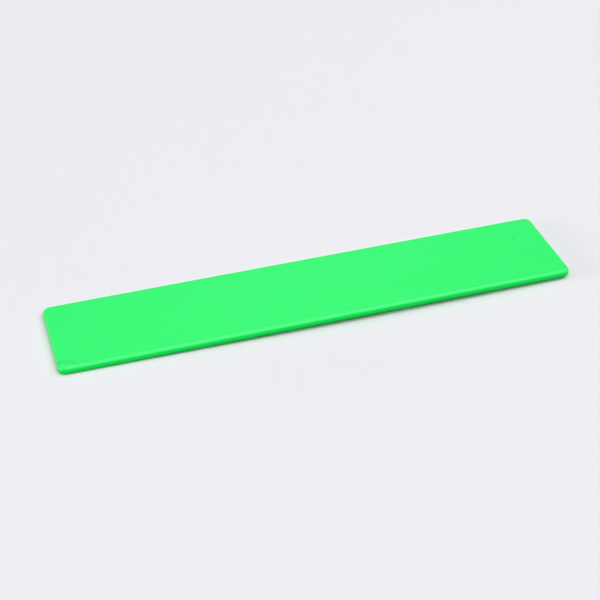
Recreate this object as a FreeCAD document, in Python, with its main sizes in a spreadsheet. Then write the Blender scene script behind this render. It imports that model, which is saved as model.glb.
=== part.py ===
import FreeCAD, Part
import math
import os

import Sketcher

# Straight toy slide: one flat moulded plastic strip, lying on its underside.
#
# Millimetres. X runs along the strip, Y across it and Z up. The origin is the middle of the
# underside, so the strip stands on the plane Z = 0. The outline is drawn at the underside,
# where the strip is largest, because its side walls lean in a little towards the top so that
# it leaves its mould.

SHEET = "sizes"

# Driving dimensions, in millimetres, degrees or pieces: cell alias, value, what it sets.
DRIVING_DIMENSIONS = (
    ("strip_length", 100.0, "end to end, at the underside"),
    ("strip_width", 21.0, "edge to edge, at the underside"),
    ("strip_thickness", 1.5, "underside to sliding face"),
    ("corner_radius", 1.5, "the four corners, seen from above"),
    ("side_draft", 1.0, "degrees that the side walls lean in"),
    ("top_edge_radius", 0.7, "rounding round the sliding face"),
    ("base_edge_radius", 0.5, "rounding round the underside"),
    ("pin_mark_diameter", 3.0, "ejector pin marks in the underside"),
    ("pin_mark_depth", 0.1, "ejector pin marks in the underside"),
    ("pin_mark_inset", 11.0, "centre of the outer pin marks to the strip's end"),
    ("pin_mark_count", 4, "ejector pin marks in the row"),
)

LENGTH_TOLERANCE = 1e-6


def make_sheet(doc):
    """Put the driving dimensions in a spreadsheet, each cell with its alias."""
    sheet = doc.addObject("Spreadsheet::Sheet", SHEET)
    for row, (alias, value, note) in enumerate(DRIVING_DIMENSIONS, start=1):
        sheet.set("A%d" % row, alias)
        sheet.set("B%d" % row, str(value))
        sheet.set("C%d" % row, note)
        sheet.setAlias("B%d" % row, alias)
    doc.recompute()
    return sheet


def origin_feature(body, role):
    """The body's own origin plane or axis with this role."""
    for feature in body.Origin.OriginFeatures:
        if feature.Role == role:
            return feature
    raise RuntimeError("%s has no %s" % (body.Label, role))


def new_sketch(body, name):
    """A sketch of the body on its own XY plane, which holds the underside."""
    sketch = body.newObject("Sketcher::SketchObject", name)
    sketch.AttachmentSupport = [(origin_feature(body, "XY_Plane"), "")]
    sketch.MapMode = "FlatFace"
    return sketch


def bind(feature, name, expression):
    """Bind one property of a feature to the spreadsheet."""
    feature.setExpression(name, expression.replace("$", SHEET + "."))


def bind_constraint(sketch, name, constraint, expression):
    """Add a named sketch dimension and bind it to the spreadsheet."""
    index = sketch.addConstraint(constraint)
    sketch.renameConstraint(index, name)
    bind(sketch, "Constraints." + name, expression)


def draw_rounded_rectangle(sketch, length, width, radius):
    """Draw a rectangle with four round corners about the sketch's origin.

    The geometry goes round anticlockwise from the front side: side, corner, side, corner.
    """
    x = length / 2
    y = width / 2
    corner_x = x - radius
    corner_y = y - radius
    sides = (
        ((-corner_x, -y), (corner_x, -y)),
        ((x, -corner_y), (x, corner_y)),
        ((corner_x, y), (-corner_x, y)),
        ((-x, corner_y), (-x, -corner_y)),
    )
    centres = (
        (corner_x, -corner_y),
        (corner_x, corner_y),
        (-corner_x, corner_y),
        (-corner_x, -corner_y),
    )
    quarter = math.pi / 2
    for turn, (side, centre) in enumerate(zip(sides, centres)):
        start, end = (FreeCAD.Vector(px, py, 0) for px, py in side)
        sketch.addGeometry(Part.LineSegment(start, end), False)
        circle = Part.Circle(FreeCAD.Vector(centre[0], centre[1], 0), FreeCAD.Vector(0, 0, 1), radius)
        sketch.addGeometry(Part.ArcOfCircle(circle, (turn - 1) * quarter, turn * quarter), False)

    front, front_right, right, _, back, back_left, left, _ = range(8)
    start_point, end_point, origin = 1, 2, (-1, 1)
    for index in range(8):
        following = (index + 1) % 8
        sketch.addConstraint(Sketcher.Constraint("Tangent", index, end_point, following, start_point))
    for index in (front, back):
        sketch.addConstraint(Sketcher.Constraint("Horizontal", index))
    for index in (right, left):
        sketch.addConstraint(Sketcher.Constraint("Vertical", index))
    for index in (front_right + 2, back_left, back_left + 2):
        sketch.addConstraint(Sketcher.Constraint("Equal", front_right, index))
    sketch.addConstraint(Sketcher.Constraint("Symmetric", front, start_point, back, start_point, *origin))
    bind_constraint(
        sketch, "length", Sketcher.Constraint("DistanceX", left, start_point, right, start_point, length),
        "$strip_length",
    )
    bind_constraint(
        sketch, "width", Sketcher.Constraint("DistanceY", front, start_point, back, start_point, width),
        "$strip_width",
    )
    bind_constraint(
        sketch, "corner_radius", Sketcher.Constraint("Radius", front_right, radius), "$corner_radius"
    )


def edges_at_height(shape, height):
    """Names of the edges that lie level at this height, which round a flat face."""
    names = []
    for number, edge in enumerate(shape.Edges, start=1):
        box = edge.BoundBox
        if abs(box.ZMin - height) < LENGTH_TOLERANCE and abs(box.ZMax - height) < LENGTH_TOLERANCE:
            names.append("Edge%d" % number)
    return names


def add_rim_fillet(body, name, height, expression):
    """Round the whole rim of the flat face at this height."""
    below = body.Tip
    fillet = body.newObject("PartDesign::Fillet", name)
    fillet.Base = (below, edges_at_height(below.Shape, height))
    bind(fillet, "Radius", expression)
    return fillet


def add_pin_marks(body, sheet):
    """Sink the row of ejector pin marks into the underside, along its middle line."""
    sketch = new_sketch(body, "pin_mark_outline")
    first_x = sheet.pin_mark_inset - sheet.strip_length / 2
    radius = sheet.pin_mark_diameter / 2
    centre = FreeCAD.Vector(first_x, 0, 0)
    sketch.addGeometry(Part.Circle(centre, FreeCAD.Vector(0, 0, 1), radius), False)
    circle, centre_point, x_axis, origin = 0, 3, -1, (-1, 1)
    sketch.addConstraint(Sketcher.Constraint("PointOnObject", circle, centre_point, x_axis))
    bind_constraint(
        sketch, "first_mark", Sketcher.Constraint("DistanceX", circle, centre_point, *origin, -first_x),
        "$strip_length / 2 - $pin_mark_inset",
    )
    bind_constraint(
        sketch, "diameter", Sketcher.Constraint("Diameter", circle, 2 * radius), "$pin_mark_diameter"
    )

    mark = body.newObject("PartDesign::Pocket", "pin_mark")
    mark.Profile = sketch
    mark.Reversed = True
    bind(mark, "Length", "$pin_mark_depth")

    row = body.newObject("PartDesign::LinearPattern", "pin_mark_row")
    row.Originals = [mark]
    row.Direction = (origin_feature(body, "X_Axis"), [""])
    bind(row, "Length", "$strip_length - 2 * $pin_mark_inset")
    bind(row, "Occurrences", "$pin_mark_count")
    body.Tip = row
    return mark, row


def make_slide_strip(doc, sheet):
    """The strip: a drafted slab with rounded rims and the pin marks under it."""
    body = doc.addObject("PartDesign::Body", "slide_strip")
    body.Label = "slide_strip"

    outline = new_sketch(body, "outline")
    draw_rounded_rectangle(outline, sheet.strip_length, sheet.strip_width, sheet.corner_radius)
    slab = body.newObject("PartDesign::Pad", "slab")
    slab.Profile = outline
    bind(slab, "Length", "$strip_thickness")
    bind(slab, "TaperAngle", "-$side_draft")
    doc.recompute()

    add_rim_fillet(body, "sliding_face_rim", sheet.strip_thickness, "$top_edge_radius")
    doc.recompute()
    add_rim_fillet(body, "underside_rim", 0, "$base_edge_radius")
    doc.recompute()

    plain_volume = body.Shape.Volume
    _, row = add_pin_marks(body, sheet)
    body.Placement = FreeCAD.Placement()
    doc.recompute()

    mark_volume = math.pi * (sheet.pin_mark_diameter / 2) ** 2 * sheet.pin_mark_depth
    expected = sheet.pin_mark_count * mark_volume
    removed = plain_volume - row.Shape.Volume
    if abs(removed - expected) > expected / 100:
        raise RuntimeError("the pin marks cut %.4f mm3 and not %.4f mm3" % (removed, expected))
    return body


def check_document(doc, bodies):
    """Stop if any object failed, or if a sub-part has no valid single solid."""
    for item in doc.Objects:
        if "Invalid" in item.State or "Error" in item.State:
            raise RuntimeError("%s did not compute: %s" % (item.Label, item.State))
    for body in bodies:
        if body.Shape.isNull() or not body.Shape.isValid() or len(body.Shape.Solids) != 1:
            raise RuntimeError("%s is not one valid solid" % body.Label)


def main():
    """Make the document, check it, and write one STEP file for each sub-part."""
    doc = FreeCAD.newDocument("straight_slide")
    sheet = make_sheet(doc)
    bodies = [make_slide_strip(doc, sheet)]
    doc.recompute()
    check_document(doc, bodies)
    os.makedirs("parts", exist_ok=True)
    for body in bodies:
        body.Shape.exportStep("parts/%s.step" % body.Label)
        box = body.Shape.optimalBoundingBox(True, False)
        print(
            "%s: %.3f x %.3f x %.3f mm, %.2f mm3"
            % (body.Label, box.XLength, box.YLength, box.ZLength, body.Shape.Volume)
        )


main()
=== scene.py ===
"""Looks of the straight slide strip: one moulded green plastic plate, lying on a pale sheet.

Everything is in metres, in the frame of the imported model: X along the strip, Y across it,
Z up, with the origin in the middle of the underside. The strip is modelled by hand in the
CAD node's box, and its sliding face, side band and underside each get a finish of their own.
"""

import logging
import math
from collections.abc import Callable, Iterable, Iterator
from contextlib import contextmanager
from dataclasses import dataclass, field, fields
from enum import Enum
from typing import ClassVar

import bmesh
import bpy
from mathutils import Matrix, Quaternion, Vector


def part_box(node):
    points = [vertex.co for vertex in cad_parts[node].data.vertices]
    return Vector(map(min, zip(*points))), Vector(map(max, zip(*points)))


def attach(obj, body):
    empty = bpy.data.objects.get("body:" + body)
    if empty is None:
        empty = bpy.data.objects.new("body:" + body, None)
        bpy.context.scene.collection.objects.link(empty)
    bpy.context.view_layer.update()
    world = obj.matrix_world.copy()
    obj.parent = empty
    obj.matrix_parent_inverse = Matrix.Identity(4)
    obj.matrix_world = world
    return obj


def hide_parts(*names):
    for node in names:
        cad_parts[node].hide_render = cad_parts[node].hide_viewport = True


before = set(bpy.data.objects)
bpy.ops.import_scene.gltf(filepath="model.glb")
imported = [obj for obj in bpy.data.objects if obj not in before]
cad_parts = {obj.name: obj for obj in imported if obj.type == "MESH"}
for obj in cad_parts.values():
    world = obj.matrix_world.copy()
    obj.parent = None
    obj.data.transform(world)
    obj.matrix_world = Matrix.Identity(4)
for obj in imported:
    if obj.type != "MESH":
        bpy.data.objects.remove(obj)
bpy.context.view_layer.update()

MM = 0.001
LEVEL_TOLERANCE = 0.0001 * MM
ROUND_PROFILE = 0.5
NOISE_MIDDLE = 0.5
LOG = logging.getLogger("straight_slide")

Point = tuple[float, float, float]
Colour = tuple[float, float, float, float]
Wire = bpy.types.NodeSocket | float | tuple[float, ...]

WHITE: Colour = (1.0, 1.0, 1.0, 1.0)


class Rim(Enum):
    """The two level rims of the strip, each named by the face that it runs round."""

    SLIDING_FACE = "sliding_face"
    UNDERSIDE = "underside"


class Zone(Enum):
    """The parts of the strip's surface, each with a finish of its own."""

    FACE = "sliding_face_polished"
    BAND = "side_band_matt"
    UNDERSIDE = "underside_tooled"


class Ray(Enum):
    """The rays that meet the walls of the room instead of its even light."""

    GLOSSY = "Is Glossy Ray"
    TRANSMISSION = "Is Transmission Ray"
    CAMERA = "Is Camera Ray"


# ---------------------------------------------------------------- modelling by hand


def deselect_all() -> None:
    """Leave nothing selected, in object mode."""
    if bpy.context.object and bpy.context.object.mode != "OBJECT":
        bpy.ops.object.mode_set(mode="OBJECT")
    bpy.ops.object.select_all(action="DESELECT")


def make_active(piece: bpy.types.Object) -> None:
    """Select one piece alone and make it active.

    Args:
        piece: The piece.
    """
    deselect_all()
    piece.select_set(True)
    bpy.context.view_layer.objects.active = piece


@contextmanager
def editing(piece: bpy.types.Object) -> Iterator[None]:
    """Keep a piece in edit mode while a with block runs.

    Args:
        piece: The mesh object to edit.

    Yields:
        Nothing.
    """
    make_active(piece)
    bpy.ops.object.mode_set(mode="EDIT")
    yield
    bpy.ops.object.mode_set(mode="OBJECT")


def settle_in_mesh(piece: bpy.types.Object) -> None:
    """Move a piece's place, turn and scale into its mesh, and its object to the origin."""
    make_active(piece)
    bpy.ops.object.transform_apply(location=True, rotation=True, scale=True)


def select_edges(
    piece: bpy.types.Object, wanted: Callable[[bmesh.types.BMEdge], bool]
) -> None:
    """Select, in edit mode, the edges that a test picks.

    Args:
        piece: The mesh object, which is in edit mode.
        wanted: The test that picks them.
    """
    bpy.ops.mesh.select_mode(type="EDGE")
    bpy.ops.mesh.select_all(action="DESELECT")
    for edge in bmesh.from_edit_mesh(piece.data).edges:
        edge.select_set(wanted(edge))
    bmesh.update_edit_mesh(piece.data)


def select_faces(
    piece: bpy.types.Object, wanted: Callable[[bmesh.types.BMFace], bool]
) -> None:
    """Select, in edit mode, the faces that a test picks.

    Args:
        piece: The mesh object, which is in edit mode.
        wanted: The test that picks them.
    """
    bpy.ops.mesh.select_mode(type="FACE")
    bpy.ops.mesh.select_all(action="DESELECT")
    for face in bmesh.from_edit_mesh(piece.data).faces:
        face.select_set(wanted(face))
    bmesh.update_edit_mesh(piece.data)


def is_level(corners: Iterable[bmesh.types.BMVert], height: float) -> bool:
    """Tell whether all these corners of a mesh lie at one height."""
    return all(abs(corner.co.z - height) < LEVEL_TOLERANCE for corner in corners)


def apply_modifier(piece: bpy.types.Object, name: str) -> None:
    """Apply one modifier of a piece to its mesh."""
    make_active(piece)
    bpy.ops.object.modifier_apply(modifier=name)


def cut_away(piece: bpy.types.Object, cutter: bpy.types.Object) -> None:
    """Cut one mesh out of another.

    Args:
        piece: The mesh that is cut.
        cutter: The mesh that is taken away, which is deleted afterwards.
    """
    settle_in_mesh(cutter)
    cut = piece.modifiers.new("cut", "BOOLEAN")
    cut.operation = "DIFFERENCE"
    cut.solver = "EXACT"
    cut.object = cutter
    apply_modifier(piece, cut.name)
    bpy.data.objects.remove(cutter)


# ---------------------------------------------------------------- nodes


class NodeBoard:
    """A node tree, with short ways to add nodes and to wire them."""

    def __init__(self, tree: bpy.types.NodeTree) -> None:
        """Work on this tree."""
        self.tree = tree

    def add(self, kind: str, **settings: object) -> bpy.types.Node:
        """Add a node.

        Args:
            kind: The node's type, without the "ShaderNode" in front.
            settings: Properties of the node to set.

        Returns:
            The new node.
        """
        node = self.tree.nodes.new("ShaderNode" + kind)
        for name, value in settings.items():
            setattr(node, name, value)
        return node

    def feed(self, socket: bpy.types.NodeSocket, value: Wire) -> None:
        """Feed a socket from another node's output, or set it to a plain value.

        Args:
            socket: The socket to feed.
            value: The output or the plain value.
        """
        if isinstance(value, bpy.types.NodeSocket):
            self.tree.links.new(value, socket)
        else:
            socket.default_value = value

    def feed_all(self, node: bpy.types.Node, values: dict[str, Wire]) -> None:
        """Feed several sockets of a node, each by its name."""
        for name, value in values.items():
            self.feed(node.inputs[name], value)

    def feed_in_order(self, node: bpy.types.Node, values: Iterable[Wire]) -> None:
        """Feed a node's first sockets, in their order."""
        for socket, value in zip(node.inputs, values):
            self.feed(socket, value)

    def math(self, operation: str, *values: Wire) -> bpy.types.NodeSocket:
        """Add a Math node.

        Args:
            operation: What it works out.
            values: What feeds its sockets, in their order.

        Returns:
            Its output.
        """
        node = self.add("Math", operation=operation)
        self.feed_in_order(node, values)
        return node.outputs["Value"]

    def vector(self, operation: str, *values: Wire) -> bpy.types.NodeSocket:
        """Add a Vector Math node.

        Args:
            operation: What it works out.
            values: What feeds its sockets, in their order.

        Returns:
            Its number where the operation gives one, and its vector where not.
        """
        node = self.add("VectorMath", operation=operation)
        self.feed_in_order(node, values)
        number = operation in ("LENGTH", "DISTANCE", "DOT_PRODUCT")
        return node.outputs["Value" if number else "Vector"]

    def scaled(self, value: Wire, factor: Wire) -> bpy.types.NodeSocket:
        """Multiply a value by a factor."""
        return self.math("MULTIPLY", value, factor)

    def total(self, *values: Wire) -> bpy.types.NodeSocket:
        """Add several values up.

        Args:
            values: The values.

        Returns:
            Their sum.
        """
        so_far = values[0]
        for value in values[1:]:
            so_far = self.math("ADD", so_far, value)
        return so_far

    def strongest(self, *values: Wire) -> bpy.types.NodeSocket:
        """Take the greatest of several values.

        Args:
            values: The values.

        Returns:
            The greatest of them.
        """
        so_far = values[0]
        for value in values[1:]:
            so_far = self.math("MAXIMUM", so_far, value)
        return so_far

    def flattened(self, place: Wire) -> bpy.types.NodeSocket:
        """Set a place's height to nought, so that it is seen from above."""
        return self.vector("MULTIPLY", place, (1.0, 1.0, 0.0))

    def coordinate(self, place: Wire, axis: str) -> bpy.types.NodeSocket:
        """Take one coordinate of a place.

        Args:
            place: The place.
            axis: The coordinate's name, X, Y or Z.

        Returns:
            The coordinate.
        """
        apart = self.add("SeparateXYZ")
        self.feed(apart.inputs["Vector"], place)
        return apart.outputs[axis]

    def stretched(self, place: Wire, *sizes: Wire) -> bpy.types.NodeSocket:
        """Divide a place by a pattern's sizes.

        Args:
            place: The place.
            sizes: How long the pattern's features are along X, Y and Z.

        Returns:
            The place in the pattern, where a feature is about one unit long.
        """
        combine = self.add("CombineXYZ")
        self.feed_in_order(combine, sizes)
        return self.vector("DIVIDE", place, combine.outputs["Vector"])

    def evenly(self, place: Wire, size: Wire) -> bpy.types.NodeSocket:
        """Divide a place by a pattern's size, which is the same along X, Y and Z."""
        return self.stretched(place, size, size, size)

    def rise(self, value: Wire, start: Wire, end: Wire) -> bpy.types.NodeSocket:
        """Turn a value into a smooth rise.

        Args:
            value: The value.
            start: Where the rise is 0, which may be above the end.
            end: Where the rise is 1.

        Returns:
            The rise, between 0 and 1.
        """
        node = self.add("MapRange", interpolation_type="SMOOTHSTEP")
        self.feed_all(node, {"Value": value, "From Min": start, "From Max": end})
        return node.outputs["Result"]

    def noise(self, place: Wire, detail: float = 2.0) -> bpy.types.NodeSocket:
        """Add a soft noise with features about one unit wide.

        Args:
            place: The coordinates that it reads.
            detail: How many finer layers lie over its broadest one.

        Returns:
            The noise, between 0 and 1.
        """
        node = self.add("TexNoise")
        self.feed_all(node, {"Vector": place, "Scale": 1.0, "Detail": detail})
        return node.outputs["Fac"]

    def tint(self, share: Wire, plain: Wire, tinted: Wire) -> bpy.types.NodeSocket:
        """Mix two colours.

        Args:
            share: How much of the second colour there is, from 0 to 1.
            plain: The first colour.
            tinted: The second colour.

        Returns:
            The mixed colour.
        """
        values = {"Factor_Float": share, "A_Color": plain, "B_Color": tinted}
        node = self.add("Mix", data_type="RGBA")
        for socket in node.inputs:
            if socket.identifier in values:
                self.feed(socket, values[socket.identifier])
        return next(out for out in node.outputs if out.identifier == "Result_Color")

    def relief(self, height: Wire, depth: float) -> bpy.types.NodeSocket:
        """Turn a height map between 0 and 1 into a bumpy normal.

        Args:
            height: The height at each point.
            depth: How far 1 stands over 0, in metres.

        Returns:
            The normal.
        """
        node = self.add("Bump")
        self.feed_all(node, {"Height": height, "Distance": depth, "Strength": 1.0})
        return node.outputs["Normal"]


class MaterialBoard(NodeBoard):
    """The board of a new material, with the object coordinates that its patterns read."""

    def __init__(self, name: str) -> None:
        """Make the material.

        Args:
            name: The material's name.
        """
        self.material = bpy.data.materials.new(name)
        self.material.use_nodes = True
        super().__init__(self.material.node_tree)
        self.shader = self.tree.nodes["Principled BSDF"]
        self.place = self.add("TexCoord").outputs["Object"]

    def finish(
        self, colour: Wire, roughness: Wire, specular_level: float, normal: Wire
    ) -> bpy.types.Material:
        """Feed the material's shader.

        Args:
            colour: The base colour.
            roughness: The roughness.
            specular_level: How strongly the surface reflects, which is the same all over.
            normal: The bumpy normal.

        Returns:
            The finished material.
        """
        values = {
            "Base Color": colour,
            "Roughness": roughness,
            "Specular IOR Level": specular_level,
            "Normal": normal,
        }
        self.feed_all(self.shader, values)
        return self.material


# ---------------------------------------------------------------- effects


@dataclass(frozen=True)
class Effect:
    """A look that several finishes share: a node group whose inputs are this class's fields."""

    def group(self) -> bpy.types.NodeTree:
        """Get the node group, which is made the first time that a finish asks for it.

        Returns:
            The node group.
        """
        name = type(self).__name__
        made = bpy.data.node_groups.get(name)
        if made:
            return made
        tree = bpy.data.node_groups.new(name, "ShaderNodeTree")
        tree.interface.new_socket("place", in_out="INPUT", socket_type="NodeSocketVector")
        for value in fields(self):
            kind = "NodeSocketFloat" if value.type is float else "NodeSocketVector"
            tree.interface.new_socket(value.name, in_out="INPUT", socket_type=kind)
        tree.interface.new_socket("strength", in_out="OUTPUT", socket_type="NodeSocketFloat")
        board = NodeBoard(tree)
        given = tree.nodes.new("NodeGroupInput").outputs
        result = tree.nodes.new("NodeGroupOutput").inputs["strength"]
        board.feed(result, self.wire_up(board, given))
        return tree

    def wire_up(
        self, board: NodeBoard, given: bpy.types.NodeOutputs
    ) -> bpy.types.NodeSocket:
        """Wire the inside of the group.

        Args:
            board: The group's own board.
            given: The group's inputs, each by its name.

        Returns:
            What the group puts out, between 0 and 1.
        """
        raise NotImplementedError

    def on(self, board: MaterialBoard) -> bpy.types.NodeSocket:
        """Place the effect in a material, with this object's values.

        Args:
            board: The material's board.

        Returns:
            The effect's output.
        """
        node = board.add("Group", node_tree=self.group())
        board.feed(node.inputs["place"], board.place)
        for value in fields(self):
            board.feed(node.inputs[value.name], getattr(self, value.name))
        return node.outputs["strength"]


@dataclass(frozen=True)
class MouldGrain(Effect):
    """Fine grain on long lazy waves, as a height."""

    grain_size: float = 0.25 * MM
    wave_size: float = 7.0 * MM
    wave_share: float = 0.6

    def wire_up(
        self, board: NodeBoard, given: bpy.types.NodeOutputs
    ) -> bpy.types.NodeSocket:
        """Lay the grain over the waves.

        Args:
            board: The group's own board.
            given: The group's inputs, each by its name.

        Returns:
            The height.
        """
        grain = board.noise(board.evenly(given["place"], given["grain_size"]))
        wave = board.noise(board.evenly(given["place"], given["wave_size"]), detail=1.0)
        grain_share = board.math("SUBTRACT", 1.0, given["wave_share"])
        return board.total(
            board.scaled(wave, given["wave_share"]), board.scaled(grain, grain_share)
        )


@dataclass(frozen=True)
class HairScratches(Effect):
    """Hair-thin lines that run mostly along X and break off here and there."""

    length: float = 22.0 * MM
    spacing: float = 1.6 * MM
    fineness: float = 0.016

    gap_share: ClassVar[float] = 0.3
    hidden_below: ClassVar[float] = 0.5
    shown_above: ClassVar[float] = 0.62

    def wire_up(
        self, board: NodeBoard, given: bpy.types.NodeOutputs
    ) -> bpy.types.NodeSocket:
        """Draw thin level lines of a long noise, where a second noise lets them show.

        Args:
            board: The group's own board.
            given: The group's inputs, each by its name.

        Returns:
            How deep the scratches are.
        """
        across = given["spacing"]
        hills = board.noise(board.stretched(given["place"], given["length"], across, across))
        off_line = board.math("ABSOLUTE", board.math("SUBTRACT", hills, NOISE_MIDDLE))
        line = board.rise(off_line, given["fineness"], 0.0)
        gap_length = board.scaled(given["length"], self.gap_share)
        gaps = board.noise(board.evenly(given["place"], gap_length), detail=0.0)
        return board.scaled(line, board.rise(gaps, self.hidden_below, self.shown_above))


@dataclass(frozen=True)
class DustSpecks(Effect):
    """Small round specks, scattered far apart."""

    spacing: float = 5.0 * MM
    radius: float = 0.14 * MM

    core_share: ClassVar[float] = 0.4

    def wire_up(
        self, board: NodeBoard, given: bpy.types.NodeOutputs
    ) -> bpy.types.NodeSocket:
        """Mark the surface near the scattered points of a cell pattern.

        Args:
            board: The group's own board.
            given: The group's inputs, each by its name.

        Returns:
            How thick the dust lies.
        """
        cells = board.add("TexVoronoi")
        place = board.evenly(given["place"], given["spacing"])
        board.feed_all(cells, {"Vector": place, "Scale": 1.0, "Randomness": 1.0})
        away = board.scaled(cells.outputs["Distance"], given["spacing"])
        return board.rise(away, given["radius"], board.scaled(given["radius"], self.core_share))


@dataclass(frozen=True)
class FlowMottle(Effect):
    """Faint long clouds, as the melt leaves them where it ran along the mould."""

    length: float = 34.0 * MM
    width: float = 7.0 * MM
    height: float = 7.0 * MM

    def wire_up(
        self, board: NodeBoard, given: bpy.types.NodeOutputs
    ) -> bpy.types.NodeSocket:
        """Stretch a noise along the flow."""
        sizes = (given["length"], given["width"], given["height"])
        return board.noise(board.stretched(given["place"], *sizes))


@dataclass(frozen=True)
class RimRub(Effect):
    """A band along the strip's outline, where hands and the next strip rub it."""

    half_length: float
    half_width: float
    corner_radius: float
    reach: float = 1.4 * MM

    def wire_up(
        self, board: NodeBoard, given: bpy.types.NodeOutputs
    ) -> bpy.types.NodeSocket:
        """Fade in towards the rounded outline, seen from above.

        Args:
            board: The group's own board.
            given: The group's inputs, each by its name.

        Returns:
            How much the surface is rubbed.
        """
        flat = board.flattened(board.vector("ABSOLUTE", given["place"]))
        corner = board.add("CombineXYZ")
        for axis, half in (("X", "half_length"), ("Y", "half_width")):
            inset = board.math("SUBTRACT", given[half], given["corner_radius"])
            board.feed(corner.inputs[axis], inset)
        past = board.vector("SUBTRACT", flat, corner.outputs["Vector"])
        past = board.vector("LENGTH", board.vector("MAXIMUM", past, (0.0, 0.0, 0.0)))
        start = board.math("SUBTRACT", given["corner_radius"], given["reach"])
        return board.rise(past, start, given["corner_radius"])


@dataclass(frozen=True)
class Streak(Effect):
    """One short mark from a start to an end, seen from above, darkest at its start."""

    start: Point
    end: Point
    dirt: float
    width: float = 0.6 * MM

    def wire_up(
        self, board: NodeBoard, given: bpy.types.NodeOutputs
    ) -> bpy.types.NodeSocket:
        """Measure how far along and how far off the mark's line a point lies.

        Args:
            board: The group's own board.
            given: The group's inputs, each by its name.

        Returns:
            How dark the mark is.
        """
        off = board.vector("SUBTRACT", board.flattened(given["place"]), given["start"])
        run = board.vector("SUBTRACT", given["end"], given["start"])
        run_squared = board.vector("DOT_PRODUCT", run, run)
        along = board.math("DIVIDE", board.vector("DOT_PRODUCT", off, run), run_squared)
        along = board.math("MAXIMUM", board.math("MINIMUM", along, 1.0), 0.0)
        nearest = board.add("VectorMath", operation="SCALE")
        board.feed_all(nearest, {"Vector": run, "Scale": along})
        away = board.vector("DISTANCE", off, nearest.outputs["Vector"])
        half_width = board.math("DIVIDE", given["width"], 2.0)
        fading = board.scaled(board.math("SUBTRACT", 1.0, along), given["dirt"])
        return board.scaled(board.rise(away, half_width, 0.0), fading)


@dataclass(frozen=True)
class CornerCrease(Effect):
    """A shallow curved line across a corner of the sliding face, with painted shade lying in it."""

    centre: Point = (-49.61 * MM, -12.21 * MM, 0.0)
    radius: float = 4.09 * MM
    width: float = 1.4 * MM
    # painted shade: how dark the crease is painted, and where along X it fades in
    dirt: float = 0.15
    clean_x: float = -45.9 * MM
    dirty_x: float = -46.6 * MM

    def wire_up(
        self, board: NodeBoard, given: bpy.types.NodeOutputs
    ) -> bpy.types.NodeSocket:
        """Mark a ring about the centre, as far as the painted shade runs along it.

        Args:
            board: The group's own board.
            given: The group's inputs, each by its name.

        Returns:
            How dark the painted shade is.
        """
        flat = board.flattened(given["place"])
        out = board.vector("DISTANCE", flat, given["centre"])
        away = board.math("ABSOLUTE", board.math("SUBTRACT", out, given["radius"]))
        ring = board.rise(away, board.math("DIVIDE", given["width"], 2.0), 0.0)
        reach = board.rise(board.coordinate(flat, "X"), given["clean_x"], given["dirty_x"])
        return board.scaled(ring, board.scaled(reach, given["dirt"]))


# ---------------------------------------------------------------- finishes


@dataclass(frozen=True)
class PolishedFace:
    """The sliding face and the round of its rim: smooth plastic with a soft gloss."""

    rub: RimRub
    crease: CornerCrease
    marks: tuple[Streak, ...]
    mottle: FlowMottle = FlowMottle()
    scratches: HairScratches = HairScratches()
    specks: DustSpecks = DustSpecks()
    grain: MouldGrain = MouldGrain()
    colour: Colour = (0.004, 0.930, 0.150, 1.0)
    deep_colour: Colour = (0.003, 0.905, 0.142, 1.0)
    dull_colour: Colour = (0.020, 0.860, 0.170, 1.0)
    # a dark green for the marks, the specks and the painted shade in the crease
    dark_mark_colour: Colour = (0.004, 0.180, 0.035, 1.0)
    scratch_wear: float = 0.35
    rub_wear: float = 0.15
    speck_dirt: float = 0.12
    roughness: float = 0.3
    mottle_roughness: float = 0.08
    scratch_roughness: float = 0.12
    dark_mark_roughness: float = 0.25
    scratch_share: float = 0.3
    relief_depth: float = 0.004 * MM
    specular_level: float = 0.5

    def build(self) -> bpy.types.Material:
        """Make the material.

        Returns:
            The finished material.
        """
        board = MaterialBoard(Zone.FACE.value)
        mottle = self.mottle.on(board)
        scratches = self.scratches.on(board)
        worn = board.total(
            board.scaled(scratches, self.scratch_wear),
            board.scaled(self.rub.on(board), self.rub_wear),
        )
        # darkening: painted shade in the corner crease, together with the marks and the dust specks
        dirt = board.strongest(
            self.crease.on(board),
            *[mark.on(board) for mark in self.marks],
            board.scaled(self.specks.on(board), self.speck_dirt),
        )
        colour = board.tint(mottle, self.colour, self.deep_colour)
        colour = board.tint(worn, colour, self.dull_colour)
        roughness = board.total(
            self.roughness,
            board.scaled(board.math("SUBTRACT", mottle, NOISE_MIDDLE), self.mottle_roughness),
            board.scaled(scratches, self.scratch_roughness),
            board.scaled(dirt, self.dark_mark_roughness),
        )
        height = board.math(
            "SUBTRACT", self.grain.on(board), board.scaled(scratches, self.scratch_share)
        )
        return board.finish(
            colour=board.tint(dirt, colour, self.dark_mark_colour),
            roughness=roughness,
            specular_level=self.specular_level,
            normal=board.relief(height, self.relief_depth),
        )


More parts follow.
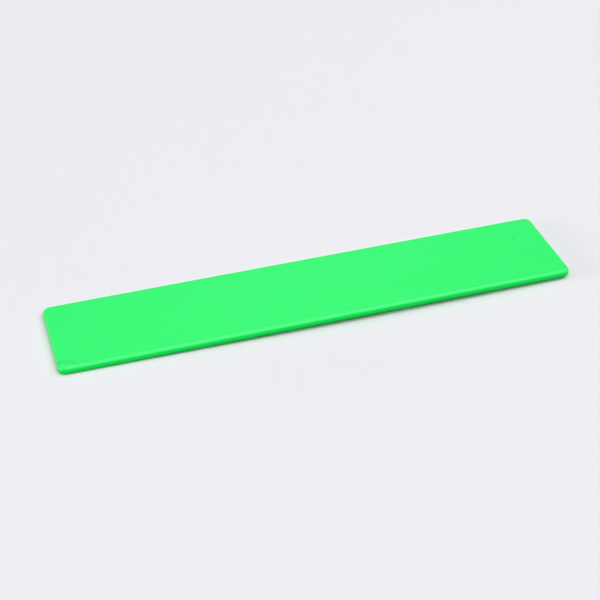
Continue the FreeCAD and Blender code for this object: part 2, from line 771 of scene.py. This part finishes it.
@dataclass(frozen=True)
class MattBand:
    """The side walls: the same plastic, dulled by the mould's upright walls, with painted shade
    towards their foot.
    """

    rub: RimRub
    drag: FlowMottle = FlowMottle(length=0.35 * MM, width=0.35 * MM, height=4.0 * MM)
    scratches: HairScratches = HairScratches(length=9.0 * MM, spacing=0.5 * MM)
    grain: MouldGrain = MouldGrain(grain_size=0.12 * MM, wave_size=3.0 * MM, wave_share=0.3)
    # painted shade: the band's green is a little darker and less blue than the sliding face's,
    # which paints in part of the walls' shade
    colour: Colour = (0.001, 0.880, 0.100, 1.0)
    deep_colour: Colour = (0.001, 0.820, 0.085, 1.0)
    # painted shade: the walls are painted darker towards the foot, where the floor shades them
    foot_shade_colour: Colour = (0.001, 0.600, 0.050, 1.0)
    foot_shade_top: float = 0.7 * MM
    foot_shade_base: float = 0.1 * MM
    rub_wear: float = 0.2
    roughness: float = 0.55
    drag_roughness: float = 0.15
    scratch_gloss: float = 0.15
    drag_share: float = 0.6
    relief_depth: float = 0.006 * MM
    specular_level: float = 0.05

    def build(self) -> bpy.types.Material:
        """Make the material.

        Returns:
            The finished material.
        """
        board = MaterialBoard(Zone.BAND.value)
        drag = self.drag.on(board)
        rub = board.scaled(self.rub.on(board), self.rub_wear)
        colour = board.tint(board.math("SUBTRACT", drag, rub), self.colour, self.deep_colour)
        # painted shade, rising from the foot of the walls
        foot = board.rise(board.coordinate(board.place, "Z"), self.foot_shade_top, self.foot_shade_base)
        roughness = board.total(
            self.roughness,
            board.scaled(drag, self.drag_roughness),
            board.scaled(self.scratches.on(board), -self.scratch_gloss),
        )
        height = board.total(
            board.scaled(drag, self.drag_share),
            board.scaled(self.grain.on(board), 1.0 - self.drag_share),
        )
        # the colour carries the painted shade at the foot of the walls
        return board.finish(
            colour=board.tint(foot, colour, self.foot_shade_colour),
            roughness=roughness,
            specular_level=self.specular_level,
            normal=board.relief(height, self.relief_depth),
        )


@dataclass(frozen=True)
class TooledUnderside:
    """The underside: duller and grainier, with the wear of lying on things."""

    rub: RimRub
    mottle: FlowMottle = FlowMottle(length=20.0 * MM, width=9.0 * MM)
    scratches: HairScratches = HairScratches(length=14.0 * MM, spacing=1.1 * MM, fineness=0.02)
    specks: DustSpecks = DustSpecks(spacing=3.5 * MM, radius=0.18 * MM)
    grain: MouldGrain = MouldGrain(grain_size=0.16 * MM, wave_size=5.0 * MM, wave_share=0.35)
    colour: Colour = (0.004, 0.860, 0.130, 1.0)
    deep_colour: Colour = (0.003, 0.780, 0.110, 1.0)
    dull_colour: Colour = (0.030, 0.800, 0.190, 1.0)
    dark_mark_colour: Colour = (0.010, 0.300, 0.060, 1.0)
    scratch_wear: float = 0.5
    rub_wear: float = 0.3
    speck_dirt: float = 0.3
    roughness: float = 0.46
    mottle_roughness: float = 0.12
    wear_gloss: float = 0.15
    dark_mark_roughness: float = 0.4
    scratch_share: float = 0.4
    relief_depth: float = 0.010 * MM
    specular_level: float = 0.4

    def build(self) -> bpy.types.Material:
        """Make the material.

        Returns:
            The finished material.
        """
        board = MaterialBoard(Zone.UNDERSIDE.value)
        mottle = self.mottle.on(board)
        scratches = self.scratches.on(board)
        worn = board.total(
            board.scaled(scratches, self.scratch_wear),
            board.scaled(self.rub.on(board), self.rub_wear),
        )
        dirt = board.scaled(self.specks.on(board), self.speck_dirt)
        colour = board.tint(mottle, self.colour, self.deep_colour)
        colour = board.tint(worn, colour, self.dull_colour)
        roughness = board.total(
            self.roughness,
            board.scaled(mottle, self.mottle_roughness),
            board.scaled(worn, -self.wear_gloss),
            board.scaled(dirt, self.dark_mark_roughness),
        )
        height = board.math(
            "SUBTRACT", self.grain.on(board), board.scaled(scratches, self.scratch_share)
        )
        return board.finish(
            colour=board.tint(dirt, colour, self.dark_mark_colour),
            roughness=roughness,
            specular_level=self.specular_level,
            normal=board.relief(height, self.relief_depth),
        )


@dataclass(frozen=True)
class PaleSheet:
    """The matt backdrop sheet, very faintly uneven, with a few specks of dust."""

    mottle: FlowMottle = FlowMottle(length=60.0 * MM, width=60.0 * MM, height=60.0 * MM)
    specks: DustSpecks = DustSpecks(spacing=34.0 * MM, radius=0.25 * MM)
    grain: MouldGrain = MouldGrain(grain_size=0.4 * MM, wave_size=12.0 * MM, wave_share=0.2)
    colour: Colour = (0.836, 0.828, 0.868, 1.0)
    deep_colour: Colour = (0.828, 0.820, 0.861, 1.0)
    dust_colour: Colour = (0.62, 0.61, 0.66, 1.0)
    speck_dust: float = 0.5
    roughness: float = 1.0
    relief_depth: float = 0.01 * MM
    specular_level: float = 0.0

    def build(self) -> bpy.types.Material:
        """Make the material.

        Returns:
            The finished material.
        """
        board = MaterialBoard("pale_sheet")
        colour = board.tint(self.mottle.on(board), self.colour, self.deep_colour)
        dust = board.scaled(self.specks.on(board), self.speck_dust)
        return board.finish(
            colour=board.tint(dust, colour, self.dust_colour),
            roughness=self.roughness,
            specular_level=self.specular_level,
            normal=board.relief(self.grain.on(board), self.relief_depth),
        )


# ---------------------------------------------------------------- the strip


def on_face(x: float, y: float) -> Point:
    """Give a place on the sliding face, seen from above, from its X and Y in millimetres."""
    return (x * MM, y * MM, 0.0)


@dataclass
class SlideStrip:
    """The moulded strip: a drafted slab with round corners, rounded rims and pin marks."""

    corner_radius: float = 1.5 * MM
    side_draft: float = math.radians(1.0)
    top_edge_radius: float = 0.7 * MM
    base_edge_radius: float = 0.5 * MM
    pin_mark_diameter: float = 3.0 * MM
    pin_mark_depth: float = 0.1 * MM
    pin_mark_inset: float = 11.0 * MM
    pin_mark_count: int = 4
    crease_depth: float = 0.03 * MM
    crease: CornerCrease = CornerCrease()
    marks: tuple[Streak, ...] = (
        Streak(on_face(43.6, 3.5), on_face(43.7, 3.7), dirt=0.35),
        Streak(on_face(43.6, 3.5), on_face(46.3, 6.4), dirt=0.12),
        Streak(on_face(-49.6, -8.2), on_face(-49.8, -9.2), dirt=0.45, width=1.0 * MM),
        Streak(on_face(-30.4, -8.5), on_face(-30.1, -8.6), dirt=0.20),
        Streak(on_face(45.4, -4.6), on_face(46.4, -4.7), dirt=0.15),
        Streak(on_face(34.7, -5.7), on_face(34.9, -5.7), dirt=0.20),
    )
    corner_segments: int = 20
    top_rim_segments: int = 14
    base_rim_segments: int = 10
    pin_mark_segments: int = 48
    crease_length_segments: int = 240
    crease_round_segments: int = 48
    smooth_up_to: float = math.radians(40)
    flat_face_weight: int = 100
    face_least_up: float = 0.2
    underside_least_down: float = 0.75
    low: Vector = field(default_factory=lambda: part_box("slide_strip")[0])
    high: Vector = field(default_factory=lambda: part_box("slide_strip")[1])

    def build(self) -> bpy.types.Object:
        """Model the strip in the CAD node's box, and dress it.

        Returns:
            The finished mesh object, at the origin, with its place in its mesh.
        """
        strip = self._slab()
        self._round_corners(strip)
        self._lean_walls_in(strip)
        self._round_rim(strip, Rim.SLIDING_FACE)
        self._round_rim(strip, Rim.UNDERSIDE)
        self._sink_pin_marks(strip)
        self._crease_corner(strip)
        self._shade(strip)
        self._dress(strip)
        return strip

    def _foot(self) -> Vector:
        """Half the slab's length and width, and its height, before its walls lean in."""
        grown = self.base_edge_radius * math.sin(self.side_draft)
        return self.high + Vector((grown, grown, 0))

    def _slab(self) -> bpy.types.Object:
        """Add the plain slab at its size and place.

        Returns:
            The slab, which the other steps shape into the strip.
        """
        foot = self._foot()
        deselect_all()
        bpy.ops.mesh.primitive_cube_add(
            size=1, location=(0, 0, foot.z / 2), scale=(2 * foot.x, 2 * foot.y, foot.z)
        )
        strip = bpy.context.object
        strip.name = "slide_strip_moulding"
        strip.data.name = strip.name
        settle_in_mesh(strip)
        return strip

    def _round_corners(self, strip: bpy.types.Object) -> None:
        """Bevel the four upright edges into round corners.

        Args:
            strip: The strip.
        """
        tall = self.high.z / 2
        with editing(strip):
            select_edges(strip, lambda edge: abs(edge.verts[0].co.z - edge.verts[1].co.z) > tall)
            bpy.ops.mesh.bevel(
                offset=self.corner_radius,
                segments=self.corner_segments,
                profile=ROUND_PROFILE,
                affect="EDGES",
            )

    def _lean_walls_in(self, strip: bpy.types.Object) -> None:
        """Draw the top face in on every side, which leans the walls by the draft.

        Args:
            strip: The strip.
        """
        foot = self._foot()
        lean = foot.z * math.tan(self.side_draft)
        with editing(strip):
            select_faces(strip, lambda face: is_level(face.verts, self.high.z))
            bpy.ops.transform.resize(
                value=(1 - lean / foot.x, 1 - lean / foot.y, 1), center_override=(0, 0, foot.z)
            )

    def _round_rim(self, strip: bpy.types.Object, rim: Rim) -> None:
        """Round one level rim of the strip.

        Args:
            strip: The strip.
            rim: Which of its rims to round.
        """
        top = rim is Rim.SLIDING_FACE
        height = self.high.z if top else self.low.z
        with editing(strip):
            select_edges(strip, lambda edge: is_level(edge.verts, height))
            bpy.ops.mesh.bevel(
                offset=self.top_edge_radius if top else self.base_edge_radius,
                segments=self.top_rim_segments if top else self.base_rim_segments,
                profile=ROUND_PROFILE,
                affect="EDGES",
            )

    def _sink_pin_marks(self, strip: bpy.types.Object) -> None:
        """Cut the row of shallow ejector pin marks into the underside.

        Args:
            strip: The strip.
        """
        run = self.high.x - self.low.x - 2 * self.pin_mark_inset
        for index in range(self.pin_mark_count):
            x = self.low.x + self.pin_mark_inset + run * index / (self.pin_mark_count - 1)
            deselect_all()
            bpy.ops.mesh.primitive_cylinder_add(
                vertices=self.pin_mark_segments,
                radius=self.pin_mark_diameter / 2,
                depth=2 * self.pin_mark_depth,
                location=(x, 0, self.low.z),
            )
            cut_away(strip, bpy.context.object)

    def _crease_corner(self, strip: bpy.types.Object) -> None:
        """Press the shallow curved crease into one corner of the sliding face.

        Args:
            strip: The strip.
        """
        half_width = self.crease.width / 2
        ball = (half_width**2 + self.crease_depth**2) / (2 * self.crease_depth)
        deselect_all()
        bpy.ops.mesh.primitive_torus_add(
            major_radius=self.crease.radius,
            minor_radius=ball,
            major_segments=self.crease_length_segments,
            minor_segments=self.crease_round_segments,
            location=(*self.crease.centre[:2], self.high.z + ball - self.crease_depth),
        )
        cut_away(strip, bpy.context.object)

    def _shade(self, strip: bpy.types.Object) -> None:
        """Shade the rims smooth and keep the flat faces flat.

        Args:
            strip: The strip.
        """
        with editing(strip):
            bpy.ops.mesh.select_all(action="SELECT")
            bpy.ops.mesh.normals_make_consistent(inside=False)
        bpy.ops.object.shade_smooth_by_angle(angle=self.smooth_up_to)
        weighted = strip.modifiers.new("flat_faces", "WEIGHTED_NORMAL")
        weighted.mode = "FACE_AREA"
        weighted.weight = self.flat_face_weight
        weighted.keep_sharp = True
        apply_modifier(strip, weighted.name)

    def _zone(self, face: bmesh.types.BMFace) -> Zone:
        """Tell which zone of the surface a face belongs to.

        Args:
            face: A face of the strip.

        Returns:
            Its zone, which follows from how far it looks up or down, or the underside where
            it is the wall of a pin mark.
        """
        middle = face.calc_center_median()
        in_pin_mark = self.low.z < middle.z < self.low.z + self.pin_mark_depth
        in_pin_mark = in_pin_mark and abs(middle.y) < self.pin_mark_diameter
        if in_pin_mark or face.normal.z < -self.underside_least_down:
            return Zone.UNDERSIDE
        return Zone.FACE if face.normal.z > self.face_least_up else Zone.BAND

    def _dress(self, strip: bpy.types.Object) -> None:
        """Give each zone of the surface its finish.

        Args:
            strip: The strip.
        """
        rub = RimRub(self.high.x, self.high.y, self.corner_radius)
        finishes = {
            Zone.FACE: PolishedFace(rub, self.crease, self.marks),
            Zone.BAND: MattBand(rub),
            Zone.UNDERSIDE: TooledUnderside(rub),
        }
        for index, (zone, finish) in enumerate(finishes.items()):
            strip.data.materials.append(finish.build())
            with editing(strip):
                select_faces(strip, lambda face: self._zone(face) is zone)
                strip.active_material_index = index
                bpy.ops.object.material_slot_assign()


# ---------------------------------------------------------------- studio


@dataclass(frozen=True)
class Softbox:
    """A soft lamp that hangs round the strip and faces it.

    Its azimuth is measured from +Y towards +X. Its level is about the share of full white
    that it alone gives a white floor, and a lamp that is large for its distance gives less.
    """

    name: str
    azimuth: float
    elevation: float
    level: float
    width: float = 1.5
    height: float = 1.25
    distance: float = 3.0

    def build(self) -> bpy.types.Object:
        """Hang the lamp so that it faces the strip.

        Returns:
            The lamp.
        """
        away = Vector(
            (
                math.sin(self.azimuth) * math.cos(self.elevation),
                math.cos(self.azimuth) * math.cos(self.elevation),
                math.sin(self.elevation),
            )
        )
        lamp = bpy.data.lights.new(self.name, "AREA")
        lamp.shape = "RECTANGLE"
        lamp.size = self.width
        lamp.size_y = self.height
        lamp.energy = self.level * math.pi**2 * self.distance**2 / away.z
        holder = bpy.data.objects.new(self.name, lamp)
        holder.location = away * self.distance
        holder.rotation_mode = "QUATERNION"
        holder.rotation_quaternion = away.to_track_quat("Z", "Y")
        bpy.context.scene.collection.objects.link(holder)
        return holder


@dataclass(frozen=True)
class Surroundings:
    """The room: an even light, pale walls for the camera, and dimmer ones in reflections."""

    fill: float = 0.018
    pale: Colour = (0.850, 0.840, 0.880, 1.0)
    dim: Colour = (0.588, 0.580, 0.616, 1.0)

    def build(self) -> bpy.types.World:
        """Make the world.

        Returns:
            The world.
        """
        world = bpy.data.worlds.new("surroundings")
        world.use_nodes = True
        board = NodeBoard(world.node_tree)
        board.tree.nodes.clear()
        path = board.add("LightPath")
        met = self._glow(board, WHITE, self.fill)
        for ray in Ray:
            wall = self._glow(board, self.pale if ray is Ray.CAMERA else self.dim)
            mix = board.add("MixShader")
            board.feed_in_order(mix, (path.outputs[ray.value], met, wall))
            met = mix.outputs["Shader"]
        board.feed(board.add("OutputWorld").inputs["Surface"], met)
        bpy.context.scene.world = world
        return world

    def _glow(
        self, board: NodeBoard, colour: Colour, strength: float = 1.0
    ) -> bpy.types.NodeSocket:
        """Add a background of one colour.

        Args:
            board: The world's board.
            colour: The background's colour.
            strength: What the colour is multiplied by.

        Returns:
            The background's output.
        """
        glow = board.add("Background")
        board.feed_all(glow, {"Color": colour, "Strength": strength})
        return glow.outputs["Background"]


@dataclass(frozen=True)
class Floor:
    """The pale sheet that the strip lies on, which sags a little under its middle."""

    fine_size: float = 0.4
    fine_cells: int = 80
    half_size: float = 0.7
    gap: float = 0.02 * MM
    sag: float = 0.70 * MM
    sag_x: float = 18.0 * MM
    sag_y: float = -11.0 * MM
    sag_reach_x: float = 68.0 * MM
    sag_reach_y: float = 24.0 * MM
    finish: PaleSheet = PaleSheet()

    def build(self) -> bpy.types.Object:
        """Lay the sheet just under the strip.

        Returns:
            The sheet.
        """
        deselect_all()
        bpy.ops.mesh.primitive_grid_add(
            size=self.fine_size, x_subdivisions=self.fine_cells, y_subdivisions=self.fine_cells
        )
        floor = bpy.context.object
        floor.name = "floor"
        with editing(floor):
            self._sag(floor)
            self._spread(floor)
        bpy.ops.object.shade_smooth()
        floor.location.z = -self.gap
        settle_in_mesh(floor)
        floor.data.materials.append(self.finish.build())
        return floor

    def _squeeze(self) -> float:
        """Give the dip's width as a share of its length."""
        return self.sag_reach_y / self.sag_reach_x

    def _sag(self, floor: bpy.types.Object) -> None:
        """Pull the middle of the grid down, then squeeze and shift the dip to its place.

        Args:
            floor: The sheet, which is in edit mode.
        """
        cell = self.fine_size / self.fine_cells
        select_faces(floor, lambda face: face.calc_center_median().length < cell)
        bpy.ops.transform.translate(
            value=(0, 0, -self.sag),
            use_proportional_edit=True,
            proportional_edit_falloff="SMOOTH",
            proportional_size=self.sag_reach_x,
        )
        bpy.ops.mesh.select_all(action="SELECT")
        bpy.ops.transform.resize(value=(1, self._squeeze(), 1), center_override=(0, 0, 0))
        bpy.ops.transform.translate(value=(self.sag_x, self.sag_y, 0))

    def _spread(self, floor: bpy.types.Object) -> None:
        """Carry the grid's border out flat to the sheet's full size.

        Args:
            floor: The sheet, which is in edit mode.
        """
        select_edges(floor, lambda edge: edge.is_boundary)
        bpy.ops.mesh.extrude_region_move()
        reach = self.fine_size / 2
        bpy.ops.transform.resize(
            value=(self.half_size / reach, self.half_size / (reach * self._squeeze()), 1),
            center_override=(self.sag_x, self.sag_y, 0),
        )


@dataclass(frozen=True)
class Camera:
    """A long lens that looks down on the strip from its front left.

    Its lens and sensor are in millimetres, as the camera takes them.
    """

    azimuth: float = math.radians(-14.931)
    elevation: float = math.radians(34.444)
    roll: float = math.radians(-2.304)
    lens: float = 91.834
    sensor_width: float = 36.0
    distance: float = 293.33 * MM
    aim: Point = (-2.101 * MM, -1.176 * MM, 0.0)
    nearest: float = 0.01
    farthest: float = 10.0

    def build(self) -> bpy.types.Object:
        """Make the camera the scene's camera.

        Returns:
            The camera.
        """
        back = Vector(
            (
                math.sin(self.azimuth) * math.cos(self.elevation),
                -math.cos(self.azimuth) * math.cos(self.elevation),
                math.sin(self.elevation),
            )
        )
        data = bpy.data.cameras.new("camera")
        data.sensor_width = self.sensor_width
        data.lens = self.lens
        data.clip_start = self.nearest
        data.clip_end = self.farthest
        camera = bpy.data.objects.new("camera", data)
        camera.location = Vector(self.aim) + back * self.distance
        camera.rotation_mode = "QUATERNION"
        camera.rotation_quaternion = back.to_track_quat("Z", "Y") @ Quaternion((0, 0, 1), self.roll)
        bpy.context.scene.collection.objects.link(camera)
        bpy.context.scene.camera = camera
        return camera


LAMPS = (
    Softbox(
        name="key_softbox",
        azimuth=math.radians(155),
        elevation=math.radians(60),
        level=0.693,
        width=2.6,
        height=3.6,
    ),
    Softbox(
        name="left_softbox",
        azimuth=math.radians(270),
        elevation=math.radians(50),
        level=0.120,
    ),
    Softbox(
        name="right_softbox",
        azimuth=math.radians(90),
        elevation=math.radians(45),
        level=0.194,
    ),
    Softbox(
        name="rear_softbox",
        azimuth=math.radians(0),
        elevation=math.radians(60),
        level=0.130,
        width=2.0,
        height=1.5,
    ),
    Softbox(
        name="left_panel",
        azimuth=math.radians(275),
        elevation=math.radians(12),
        level=0.084,
        width=1.8,
        height=0.8,
    ),
    Softbox(
        name="rear_left_panel",
        azimuth=math.radians(-35),
        elevation=math.radians(22),
        level=0.006,
        width=2.0,
        height=1.2,
    ),
    Softbox(
        name="rear_panel",
        azimuth=math.radians(14.5),
        elevation=math.radians(40),
        level=0.0067,
        width=0.22,
        height=0.20,
        distance=0.6,
    ),
)


def main() -> None:
    """Build the strip and its studio, and log each piece."""
    logging.basicConfig(level=logging.INFO, format="%(name)s: %(message)s")
    strip = SlideStrip().build()
    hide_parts("slide_strip")
    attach(strip, "root")
    LOG.info("%s: %d faces", strip.name, len(strip.data.polygons))
    for part in (Floor(), *LAMPS, Surroundings(), Camera()):
        LOG.info("studio: %s", part.build().name)
    bpy.context.scene.view_settings.view_transform = "Standard"


if __name__ == "__main__":
    main()
